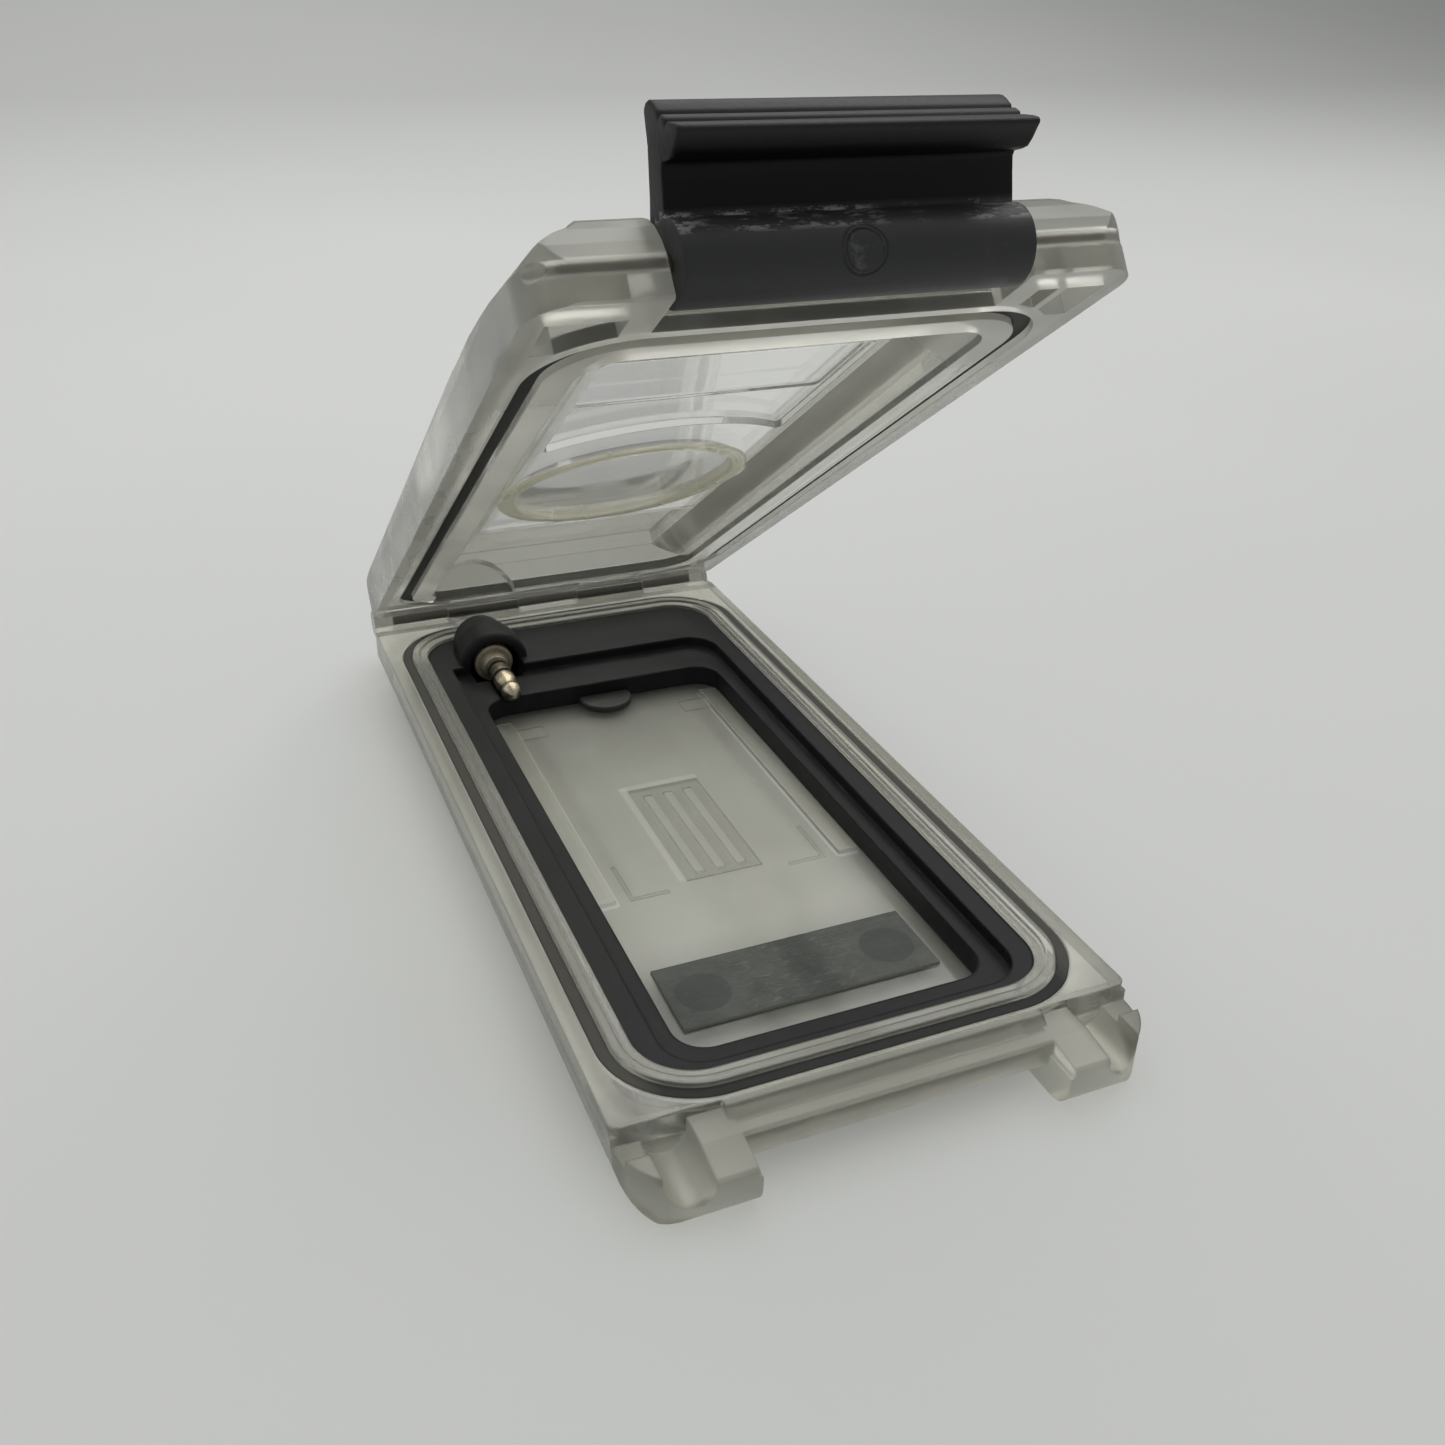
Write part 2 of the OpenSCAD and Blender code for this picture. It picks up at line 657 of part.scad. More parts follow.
// Section of the latch beside its barrel: plate and hooked lip with a grooved, dished top
module latch_section() {
    f = latch_front;
    t = plate_l;
    tip = f - lip_l;
    back = f + plate_t;
    polygon([[0, 0], [f - 0.6, barrel_r - 0.6], [f - 0.4, barrel_r + 0.5], [f, t - 6.4],
        [f + 0.25, t - 5], [f + 0.05, t - 4.5], [f - 1.2, t - 4.2], [f - 2, t - 3.9],
        [f - 2.6, t - 3.2], [tip + 0.45, t - 2.45], [tip, t - 1.75], [tip, t - 1.5],
        [tip + 0.3, t - 1.3], [tip + 1.1, t - 1.25], [tip + 2.7, t - 1.3], [tip + 2.9, t - 1.6],
        [tip + 3.15, t - 1.55], [tip + 3.35, t - 1.1], [tip + 4.2, t - 0.85],
        [tip + 4.4, t - 1.2], [tip + 4.7, t - 1.1], [tip + 4.9, t - 0.65], [tip + 5.8, t - 0.2],
        [tip + 6.4, t], [back + 0.2, t + 0.02], [back + 0.9, t - 0.25], [back + 1.3, t - 0.7],
        [back + 1.35, t - 1.1], [back + 0.95, t - 2.3], [back + 0.5, t - 3.6],
        [back + 0.25, t - 5.6], [back, t - 8], [back - 0.05, 2], [back - 0.5, 0.2],
        [back - 1.2, -1.2]]);
}

module latch() {
    color(latch_col) in_lid_pose() translate([0, latch_y, latch_z]) rotate([latch_deg, 0, 0])
        difference() {
            union() {
                x_bar(-latch_w / 2, latch_w / 2) latch_section();
                translate([-latch_w / 2, 0, 0]) rotate([0, 90, 0])
                    cylinder(r = barrel_r, h = latch_w);
            }
            translate([-latch_w, 0, 0]) rotate([0, 90, 0])
                cylinder(r = latch_pin_r + pin_fit, h = 2 * latch_w);
        }
}

module latch_pin() {
    color(steel_col) in_lid_pose() translate([-latch_pin_half, latch_y, latch_z])
        rotate([0, 90, 0]) cylinder(r = latch_pin_r, h = 2 * latch_pin_half);
}

module hinge_pin() {
    color(steel_col) hinge_bore(hinge_pin_r, pin_half - 0.2);
}

base_shell();
lid_shell();
base_seal();
lid_seal();
liner();
plug_collar();
plug_sleeve();
plug_ring();
plug_tip();
plug_insulators();
output_socket();
floor_strip();
strip_dots();
floor_bung();
wheel_membrane();
membrane_ring();
latch();
latch_pin();
hinge_pin();
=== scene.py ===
"""Looks of a waterproof case for a small music player, open on a pale floor.

Metres. The base's flat underside lies on z = 0, the hinge is at +Y.
"""

import math

import bmesh
import bpy
from mathutils import Matrix, Vector


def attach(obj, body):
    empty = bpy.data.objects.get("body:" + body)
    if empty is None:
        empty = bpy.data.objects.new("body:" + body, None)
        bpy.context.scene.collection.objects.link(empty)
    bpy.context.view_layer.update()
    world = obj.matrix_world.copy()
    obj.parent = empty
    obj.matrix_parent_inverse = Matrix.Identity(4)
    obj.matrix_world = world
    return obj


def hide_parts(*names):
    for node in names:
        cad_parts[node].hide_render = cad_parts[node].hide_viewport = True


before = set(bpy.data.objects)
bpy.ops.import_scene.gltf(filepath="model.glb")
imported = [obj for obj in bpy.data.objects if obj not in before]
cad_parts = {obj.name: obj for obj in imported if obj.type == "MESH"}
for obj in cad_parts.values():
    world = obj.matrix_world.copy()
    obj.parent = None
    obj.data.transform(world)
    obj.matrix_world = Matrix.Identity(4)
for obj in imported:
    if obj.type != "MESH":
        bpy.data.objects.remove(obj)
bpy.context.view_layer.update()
MM = 0.001


# The base shell is one thick moulding of clear plastic, a little yellowed, with polished
# faces that handling has dulled. The hinge pin and the corner lugs are part of its outline.


class Wire:
    """One output of a material's node, on which arithmetic adds Math nodes."""

    def __init__(self, finish, socket):
        self.finish = finish
        self.socket = socket

    def maths(self, operation, first, second):
        return self.finish.node("ShaderNodeMath", {"operation": operation}, {0: first, 1: second})

    def __add__(self, other):
        return self.maths("ADD", self, other)

    def __radd__(self, other):
        return self.maths("ADD", other, self)

    def __sub__(self, other):
        return self.maths("SUBTRACT", self, other)

    def __rsub__(self, other):
        return self.maths("SUBTRACT", other, self)

    def __mul__(self, other):
        return self.maths("MULTIPLY", self, other)

    def __rmul__(self, other):
        return self.maths("MULTIPLY", other, self)


class Finish:
    """A material built on one Principled shader, from uniform values and then from nodes."""

    def __init__(self, name, **uniform):
        self.material = bpy.data.materials.new(name)
        self.material.use_nodes = True
        self.tree = self.material.node_tree
        self.shader = self.tree.nodes["Principled BSDF"]
        for key, value in uniform.items():
            self.shader.inputs[key.replace("_", " ")].default_value = value

    def plug(self, socket, value):
        if isinstance(value, Wire):
            self.tree.links.new(value.socket, socket)
        elif value is not None:
            socket.default_value = value

    def node(self, kind, settings=None, inputs=None, out=0):
        made = self.tree.nodes.new(kind)
        for key, value in (settings or {}).items():
            if key == "stops":
                ramp = made.color_ramp.elements
                while len(ramp) < len(value):
                    ramp.new(0.5)
                for element, (place, shade) in zip(ramp, value):
                    element.position = place
                    element.color = shade
            else:
                setattr(made, key, value)
        for key, value in (inputs or {}).items():
            self.plug(made.inputs[key], value)
        return Wire(self, made.outputs[out])

    def place(self):
        return self.node("ShaderNodeTexCoord", out="Object")

    def noise(self, scale, detail=3.0, rough=0.5, place=None):
        return self.node("ShaderNodeTexNoise", None, {
            "Vector": place or self.place(), "Scale": scale, "Detail": detail, "Roughness": rough})

    def ramp(self, value, low, high, bottom=0.0, top=1.0):
        return self.node("ShaderNodeMapRange", {"clamp": True}, {
            "Value": value, "From Min": low, "From Max": high, "To Min": bottom, "To Max": top})

    def blend(self, factor, first, second):
        return self.node("ShaderNodeMix", {"data_type": "RGBA"}, {
            "Factor": factor, "A": (*first, 1.0) if isinstance(first, tuple) else first,
            "B": (*second, 1.0) if isinstance(second, tuple) else second}, out="Result")

    def times(self, colour, factor):
        """A colour multiplied by a plain number that varies over the surface."""
        grey = self.node("ShaderNodeCombineColor", None, {0: factor, 1: factor, 2: factor})
        return self.node("ShaderNodeMix", {"data_type": "RGBA", "blend_type": "MULTIPLY"}, {
            "Factor": 1.0, "A": colour, "B": grey}, out="Result")

    def stretched(self, scale):
        return self.node("ShaderNodeMapping", None, {"Vector": self.place(), "Scale": scale})

    def bump(self, height, strength, distance, edge=0.0):
        """A relief, on edges that the mould and use have rounded to the given radius."""
        rounded = self.node("ShaderNodeBevel", {"samples": 6}, {"Radius": edge}) if edge else None
        return self.node("ShaderNodeBump", None, {
            "Height": height, "Strength": strength, "Distance": distance, "Normal": rounded})

    def away(self, centre):
        """Distance of the surface from a place on the object."""
        return self.node("ShaderNodeVectorMath", {"operation": "DISTANCE"}, {
            0: self.place(), 1: centre}, out="Value")

    def axes(self, place=None):
        return [self.node("ShaderNodeSeparateXYZ", None, {0: place or self.place()}, out=axis)
            for axis in "XYZ"]

    def lets_light_through(self, tint):
        """Lets shadow and diffuse rays pass straight, so that what lies under is lit."""
        path = [self.node("ShaderNodeLightPath", out=kind) for kind in ("Is Shadow Ray", "Is Diffuse Ray")]
        straight = self.node("ShaderNodeBsdfTransparent", None, {"Color": (*tint, 1.0)})
        mixed = self.node("ShaderNodeMixShader", None, {
            0: self.maths_max(*path), 1: Wire(self, self.shader.outputs[0]), 2: straight})
        self.tree.links.new(mixed.socket, self.tree.nodes["Material Output"].inputs["Surface"])
        return self.material

    def maths_max(self, first, second):
        return self.node("ShaderNodeMath", {"operation": "MAXIMUM"}, {0: first, 1: second})

    def feed(self, **links):
        for key, value in links.items():
            self.plug(self.shader.inputs[key.replace("_", " ")], value)
        return self.material


def clear_plastic(name, pale, aged, dull, through=0.85, edge=0.0, window=None, frost=None,
        cloud=(0.68, 0.67, 0.59), shade=None):
    """Clear moulded plastic: aged patches of colour, dull rubbed areas and fine scratches.
    Inside the window mask it is polished and nearly without colour, in the frost mask matt.
    The shade is painted shade: it darkens the colour and so what is seen through it, from one (not at all)
    down to nothing."""
    made = Finish(name, Transmission_Weight=through, IOR=1.5, Specular_IOR_Level=0.5)
    patches = made.ramp(made.noise(38.0, 2.0), 0.35, 0.7)
    rubbed = made.ramp(made.noise(140.0, 2.0), 0.45, 0.75)
    hair = made.ramp(made.noise(240.0, 2.0, 0.5, made.stretched((1.0, 0.06, 1.0))), 0.68, 0.78)
    tint = made.blend(patches, pale, aged)
    matt = dull + 0.1 * rubbed + 0.06 * hair
    if frost:
        clouded = frost(made)
        hair = hair * (1.0 - clouded)
        tint = made.blend(clouded, tint, cloud)
        matt = matt + 0.18 * clouded
    if window:
        polished = window(made)
        tint = made.blend(polished, tint, (0.975, 0.975, 0.96))
        matt = matt * (1.0 - 0.85 * polished)
    if shade:
        # Painted shade multiplied into the tint.
        tint = made.times(tint, shade(made))
    made.feed(
        Base_Color=tint, Roughness=matt,
        Normal=made.bump(0.3 * hair + 0.5 * rubbed, 0.05, 0.0002, edge))
    return made.lets_light_through((0.91, 0.91, 0.89))


def dress(node, material):
    """Puts one material on a node of the frame."""
    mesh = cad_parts[node].data
    mesh.materials.clear()
    mesh.materials.append(material)


def base_lugs(made):
    """One on the two corner lugs in front of the shell, which are matt from the mould."""
    return made.ramp(made.axes()[1], -62.4 * MM, -63.2 * MM)


def box_mask(made, parts, left, right, front, back, soft=0.25 * MM):
    """One inside a box seen from above, fading over a soft border."""
    across = made.ramp(parts[0], left - soft, left) * made.ramp(parts[0], right, right + soft, 1.0, 0.0)
    along = made.ramp(parts[1], front - soft, front) * made.ramp(parts[1], back, back + soft, 1.0, 0.0)
    return across * along


# Painted shade along the tray's floor: stops from its front end (0) to the hinge end (1), darker round the
# strip and towards the hinge.
TRAY_SHADE_STOPS = [(0.0, 0.46), (0.08, 0.5), (0.15, 0.6), (0.22, 0.88), (0.34, 0.84), (0.45, 0.75),
    (0.59, 0.71), (0.66, 0.64), (0.73, 0.50), (0.83, 0.33), (0.95, 0.25)]


def tray_painted_shade(made):
    """Painted shade: the tray's floor darkens towards the hinge and round the strip, with painted light and
    shade on its relief; the lower left wall and the front corners take painted shade, and the hinge knuckles
    a painted dark reflection.
    """
    parts = made.axes()
    floor = box_mask(made, parts, -20.0 * MM, 20.0 * MM, -54.0 * MM, 42.0 * MM)
    low = made.ramp(parts[2], 4.2 * MM, 4.4 * MM, 1.0, 0.0)
    along = made.ramp(parts[1], -50.0 * MM, 40.0 * MM)
    length = made.node("ShaderNodeValToRGB", {"stops": [
        (place, (seen, seen, seen, 1.0)) for place, seen in TRAY_SHADE_STOPS]}, {0: along})
    # Painted shade: the left of the floor is darker.
    side = made.ramp(parts[0], -19.0 * MM, -7.0 * MM, 0.82, 1.0)
    cloud = made.ramp(made.noise(45.0, 2.0), 0.3, 0.7, 0.92, 1.04)
    recess = box_mask(made, parts, -5.3 * MM, 5.3 * MM, -18.8 * MM, 5.2 * MM)
    left_pad = box_mask(made, parts, -18.8 * MM, -16.0 * MM, -20.6 * MM, 30.5 * MM, 0.1 * MM)
    right_pad = box_mask(made, parts, 16.0 * MM, 18.8 * MM, -20.6 * MM, 30.5 * MM, 0.1 * MM)
    pad_lines = box_mask(made, parts, -16.1 * MM, -15.6 * MM, -21.0 * MM, 30.5 * MM, 0.1 * MM) + box_mask(
        made, parts, 15.6 * MM, 16.1 * MM, -21.0 * MM, 30.5 * MM, 0.1 * MM) + box_mask(
        made, parts, 16.0 * MM, 18.8 * MM, -21.2 * MM, -20.6 * MM, 0.1 * MM) + box_mask(
        made, parts, -18.8 * MM, -16.0 * MM, -21.2 * MM, -20.6 * MM, 0.1 * MM)
    slopes = box_mask(made, parts, -6.4 * MM, -5.5 * MM, -18.6 * MM, 6.0 * MM) + box_mask(
        made, parts, -6.4 * MM, 5.4 * MM, 5.5 * MM, 6.3 * MM)
    beside = box_mask(made, parts, -14.4 * MM, -13.4 * MM, -18.0 * MM, 25.0 * MM, 1.2 * MM) + box_mask(
        made, parts, 13.4 * MM, 14.4 * MM, -18.0 * MM, 25.0 * MM, 1.2 * MM)
    # Painted light and shade on the floor's relief: the recess, pads, their edge lines, slopes and bars are
    # made lighter or darker.
    relief = 1.0 - 0.22 * recess + 0.42 * (left_pad + right_pad) + 0.4 * slopes - 0.16 * beside
    relief = relief + 0.8 * pad_lines
    for middle in (-3.0, 0.0, 3.0):
        bar = box_mask(made, parts, (middle - 0.65) * MM, (middle + 0.65) * MM, -17.4 * MM, 3.2 * MM)
        relief = relief + 0.26 * bar
    seen = length * side * cloud * relief
    inside = floor * low
    wide = made.node("ShaderNodeMath", {"operation": "ABSOLUTE"}, {0: parts[0]})
    # Painted shade on the lower part of the left outer wall.
    wall = made.ramp(parts[0], -30.8 * MM, -30.4 * MM, 1.0, 0.0) * made.ramp(
        parts[2], 4.6 * MM, 5.6 * MM, 1.0, 0.0)
    # Painted shade on the front corners of the shell.
    corners = made.ramp(wide, 25.5 * MM, 27.5 * MM) * made.ramp(parts[1], -59.0 * MM, -57.0 * MM, 1.0, 0.0)
    # A painted dark reflection on the hinge knuckles.
    knuckles = made.ramp(parts[1], 62.4 * MM, 62.9 * MM)
    return (1.0 - inside + inside * seen) * (1.0 - 0.42 * wall) * (1.0 - 0.3 * corners) * (
        1.0 - 0.5 * knuckles)


SHELL_CLEAR = clear_plastic("clear_shell", (0.79, 0.785, 0.72), (0.70, 0.69, 0.61), 0.16, 0.9,
    0.45 * MM, None, base_lugs, (0.60, 0.59, 0.51), tray_painted_shade)
dress("base_shell", SHELL_CLEAR)


# The lid is the second clear moulding, with a thinner flat panel over the player's screen
# and a round opening over its wheel. Two knuckles hold it on the hinge pin.

LID_OPEN = math.radians(34.1)
HINGE = (0.0, 65.05 * MM, 7.6 * MM)


def from_hinge(made):
    """Distances from the middle of the hinge, along the closed lid's own directions."""
    held = made.node("ShaderNodeVectorMath", {"operation": "SUBTRACT"}, {0: made.place(), 1: HINGE})
    return made.axes(made.node("ShaderNodeVectorRotate", {"rotation_type": "X_AXIS"}, {
        "Vector": held, "Angle": LID_OPEN}))


def lid_frost(made):
    """One in front of the lid's screen, lugs included, and on the outside of its long walls."""
    parts = from_hinge(made)
    wide = made.node("ShaderNodeMath", {"operation": "ABSOLUTE"}, {0: parts[0]})
    walls = 0.8 * made.ramp(wide, 28.9 * MM, 29.5 * MM)
    return made.maths_max(made.ramp(parts[1], -109.0 * MM, -110.5 * MM), walls)


LID_LENGTH = 135.0 * MM
# Stops of painted shade along the lid, from its front lugs (0) to the hinge (1).
LID_TONES = [(0.0, 0.70), (0.06, 0.72), (0.075, 0.62), (0.10, 0.62), (0.12, 0.78), (0.18, 0.82),
    (0.22, 1.0), (0.90, 1.0), (0.93, 0.62), (0.96, 0.42), (1.0, 0.42)]


def lid_shade(made):
    """Painted shade: the lid darkens at its lugs and front ledge, at its back wall and along its long walls;
    at the ledge and the back wall it stands for dark reflections of the latch and the liner.
    """
    parts = from_hinge(made)
    along = made.ramp(parts[1], -LID_LENGTH, 0.0)
    tone = made.node("ShaderNodeValToRGB", {"stops": [
        (place, (seen, seen, seen, 1.0)) for place, seen in LID_TONES]}, {0: along})
    wide = made.node("ShaderNodeMath", {"operation": "ABSOLUTE"}, {0: parts[0]})
    return tone * (1.0 - 0.18 * made.ramp(wide, 28.9 * MM, 29.5 * MM))


def screen_panel(made):
    """One inside the polished panel of the lid."""
    parts = from_hinge(made)
    wide = made.node("ShaderNodeMath", {"operation": "ABSOLUTE"}, {0: parts[0]})
    inside = made.ramp(wide, 16.3 * MM, 16.8 * MM, 1.0, 0.0)
    behind = made.ramp(parts[1], -107.8 * MM, -107.2 * MM)
    before = made.ramp(parts[1], -34.0 * MM, -33.0 * MM, 1.0, 0.0)
    above = made.ramp(parts[2], 4.0 * MM, 4.4 * MM)
    return inside * behind * before * above


LID_CLEAR = clear_plastic("clear_lid", (0.84, 0.835, 0.775), (0.74, 0.73, 0.65), 0.12, 0.92,
    0.2 * MM, screen_panel, lid_frost, (0.85, 0.84, 0.765), lid_shade)
dress("lid_shell", LID_CLEAR)


# The gaskets are square dark grey rubber rings, pushed into grooves of both shells.


def rubber(name, dark, worn, gloss, edge=0.3 * MM, dust_and_sheen=None):
    """Moulded rubber with a faint bloom of dust and a fine leather-like grain."""
    made = Finish(name, Specular_IOR_Level=0.2)
    dust = made.ramp(made.noise(120.0, 5.0, 0.65), 0.5, 0.85)
    grain = made.noise(2600.0, 2.0)
    shown = made.blend(dust, dark, worn)
    if dust_and_sheen:
        # Dust and painted sheen: a paler grey along the long sides.
        shown = made.blend(dust_and_sheen(made), shown, (0.062, 0.060, 0.054))
    made.feed(
        Base_Color=shown,
        Roughness=gloss + 0.18 * dust + 0.06 * grain,
        Normal=made.bump(grain, 0.25, 0.00008, edge))
    return made.material


def along_sides(made):
    """One along the long sides, where the gasket is paler with dust and with a painted sheen of the clear
    plastic over it.
    """
    wide = made.node("ShaderNodeMath", {"operation": "ABSOLUTE"}, {0: made.axes()[0]})
    return made.ramp(wide, 24.0 * MM, 26.5 * MM)


dress("base_seal", rubber("gasket_rubber", (0.017, 0.017, 0.018), (0.038, 0.0375, 0.036), 0.5,
    0.3 * MM, along_sides))
dress("lid_seal", rubber("lid_gasket_rubber", (0.020, 0.020, 0.0195), (0.045, 0.0435, 0.040), 0.5))


# The liner is a soft tray of charcoal rubber that the player drops into. Its boss holds the
# headphone plug, and the small bung half under its edge is of the same rubber.

LINER = rubber("liner_rubber", (0.010, 0.0105, 0.012), (0.021, 0.0215, 0.023), 0.42, 0.6 * MM)
dress("liner", LINER)


def round_bung():
    """A disc with a rounded rim, under the liner's edge and a little further out than it."""
    shape = bmesh.new()
    bmesh.ops.create_cone(shape, cap_ends=True, segments=72, radius1=4.3 * MM, radius2=4.3 * MM,
        depth=1.1 * MM, matrix=Matrix.Translation((0.6 * MM, 33.2 * MM, 2.85 * MM)))
    rims = [e for e in shape.edges if abs(e.verts[0].co.z - e.verts[1].co.z) < 1e-6]
    bmesh.ops.bevel(shape, geom=rims, offset=0.35 * MM, segments=3, affect="EDGES", profile=0.5)
    mesh = bpy.data.meshes.new("round_bung")
    shape.to_mesh(mesh)
    shape.free()
    for face in mesh.polygons:
        face.use_smooth = True
    mesh.set_sharp_from_angle(angle=math.radians(50))
    piece = bpy.data.objects.new("round_bung", mesh)
    bpy.context.collection.objects.link(piece)
    return piece


BUNG = round_bung()
BUNG.data.materials.append(rubber("bung_rubber", (0.035, 0.036, 0.036), (0.06, 0.06, 0.058), 0.4))
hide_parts("floor_bung")
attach(BUNG, "base")


# The headphone plug is turned brass with worn nickel plating: collar, sleeve, ring and tip,
# parted by two black rings.


def plated(name, bright, worn, rough, metal=1.0):
    made = Finish(name, Metallic=metal)
    tarnish = made.ramp(made.noise(260.0, 4.0, 0.6), 0.52, 0.75)
    turned = made.node("ShaderNodeTexWave", {"bands_direction": "Y"}, {
        "Vector": made.place(), "Scale": 2600.0, "Distortion": 0.6})
    made.feed(
        Base_Color=made.blend(tarnish, bright, worn),
        Roughness=rough + 0.2 * tarnish,
        Normal=made.bump(turned, 0.05, 0.00002))
    return made.material


def turned_piece(name, node, profiles, material):
    """A piece turned about the plug's axis from half sections of (distance in front of the
    collar's seat, radius) in millimetres, in place of a node of the base."""
    shape = bmesh.new()
    for profile in profiles:
        ring = [shape.verts.new((PLUG_X + r * MM, PLUG_SEAT - d * MM, PLUG_Z)) for d, r in profile]
        edges = [shape.edges.new(pair) for pair in zip(ring, ring[1:] + ring[:1])]
        bmesh.ops.spin(shape, geom=ring + edges, cent=(PLUG_X, 0.0, PLUG_Z), axis=(0.0, 1.0, 0.0),
            angle=math.radians(360), steps=64, use_merge=True)
    bmesh.ops.remove_doubles(shape, verts=shape.verts, dist=1e-6)
    bmesh.ops.dissolve_degenerate(shape, edges=shape.edges, dist=1e-7)
    bmesh.ops.recalc_face_normals(shape, faces=shape.faces)
    mesh = bpy.data.meshes.new(name)
    shape.to_mesh(mesh)
    shape.free()
    for face in mesh.polygons:
        face.use_smooth = True
    mesh.set_sharp_from_angle(angle=math.radians(32))
    mesh.materials.append(material)
    piece = bpy.data.objects.new(name, mesh)
    bpy.context.collection.objects.link(piece)
    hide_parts(node)
    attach(piece, "base")


PLUG_X = -14.8 * MM
PLUG_Z = 6.7 * MM
PLUG_SEAT = 46.0 * MM
NICKEL = plated("plug_nickel", (0.60, 0.535, 0.40), (0.38, 0.30, 0.20), 0.27, 0.95)
COLLAR = plated("collar_nickel", (0.58, 0.53, 0.41), (0.34, 0.25, 0.17), 0.42, 0.5)
BLACK = rubber("plug_black", (0.012, 0.012, 0.012), (0.03, 0.03, 0.03), 0.35, 0.0)

turned_piece("jack_collar", "plug_collar", [[
    (-0.9, 1.78), (-0.9, 3.2), (1.35, 3.2), (1.5, 3.1), (1.55, 2.95), (1.55, 2.6), (2.1, 2.2),
    (2.9, 1.9), (3.1, 1.8), (3.1, 1.78)]], COLLAR)
turned_piece("jack_sleeve", "plug_sleeve", [[
    (-8.0, 0.92), (-8.0, 1.74), (4.05, 1.74), (4.1, 1.69), (4.1, 0.92)]], NICKEL)
turned_piece("jack_ring", "plug_ring", [[
    (5.0, 0.92), (5.0, 1.70), (5.05, 1.74), (7.05, 1.74), (7.1, 1.70), (7.1, 0.92)]], NICKEL)
turned_piece("jack_tip", "plug_tip", [[
    (-8.0, 0.0), (-8.0, 0.88), (8.0, 0.88), (8.0, 1.70), (8.05, 1.74), (9.5, 1.74), (9.8, 1.62),
    (10.7, 1.25), (11.1, 1.2), (11.5, 1.32), (12.0, 1.6), (12.4, 1.62), (12.9, 1.45), (13.5, 1.0),
    (14.0, 0.55), (14.2, 0.2), (14.2, 0.0)]], NICKEL)
turned_piece("jack_insulators", "plug_insulators", [
    [(4.12, 0.9), (4.12, 1.75), (4.98, 1.75), (4.98, 0.9)],
    [(7.12, 0.9), (7.12, 1.75), (7.98, 1.75), (7.98, 0.9)]], BLACK)
dress("output_socket", BLACK)


# The floor strip is a thin grey felt stuck to the clear floor, with two darker round dots
# cut into it.


def felt(name, dark, light):
    made = Finish(name, Specular_IOR_Level=0.3)
    fibre = made.noise(900.0, 6.0, 0.75, made.stretched((0.45, 1.0, 1.0)))
    blotch = made.ramp(made.noise(120.0, 4.0, 0.7), 0.35, 0.7)
    across = made.node("ShaderNodeMath", {"operation": "ABSOLUTE"}, {0: made.axes()[0]})
    fleck = made.ramp(made.noise(1500.0, 3.0, 0.7, made.stretched((0.4, 1.3, 1.0))), 0.52, 0.64)
    fleck = fleck * made.ramp(across, 5.0 * MM, 9.5 * MM, 1.0, 0.15)
    mix = made.ramp(0.7 * fibre + 0.3 * blotch, 0.3, 0.7)
    rubbed = made.ramp(made.node("ShaderNodeMath", {"operation": "ABSOLUTE"}, {
        0: made.axes()[0] - 1.5 * MM}), 1.2 * MM, 3.0 * MM, 0.68, 1.0)
    # Painted light: faces that do not face up, the strip's cut sides, take a paler grey than its top.
    facing = made.axes(made.node("ShaderNodeNewGeometry", out="Normal"))[2]
    specks = made.blend(0.42 * fleck, made.blend(mix, dark, light), (0.24, 0.25, 0.235))
    top = made.times(specks, rubbed)
    made.feed(
        Base_Color=made.blend(made.ramp(facing, 0.4, 0.6), (0.30, 0.30, 0.27), top),
        Roughness=0.55 + 0.2 * fibre,
        Normal=made.bump(fibre + fleck, 0.5, 0.0002))
    return made.material


dress("floor_strip", felt("strip_felt", (0.066, 0.072, 0.067), (0.122, 0.130, 0.120)))
dress("strip_dots", felt("dot_felt", (0.052, 0.057, 0.055), (0.078, 0.084, 0.080)))


# The wheel membrane is a thin clear film in the lid's round opening, held by a yellowed ring.

FILM = clear_plastic("film_clear", (0.97, 0.97, 0.95), (0.94, 0.94, 0.91), 0.03)
dress("wheel_membrane", FILM)

RING = Finish("ring_yellowed", Transmission_Weight=0.75, IOR=1.4, Specular_IOR_Level=0.5)
stain = RING.ramp(RING.noise(90.0, 3.0), 0.35, 0.7)
RING.feed(
    Base_Color=RING.blend(stain, (0.90, 0.89, 0.80), (0.84, 0.82, 0.70)),
    Roughness=0.2 + 0.12 * stain)
RING_SECTION = [(15.55, 0.6), (15.5, 0.2), (15.6, -0.1), (15.85, -0.33), (16.2, -0.4), (16.5, -0.3),
    (16.75, -0.12), (17.0, -0.12), (17.25, -0.3), (17.5, -0.38), (17.75, -0.3), (17.95, -0.1),
    (18.0, 0.0), (16.4, 0.0), (16.4, 0.6)]


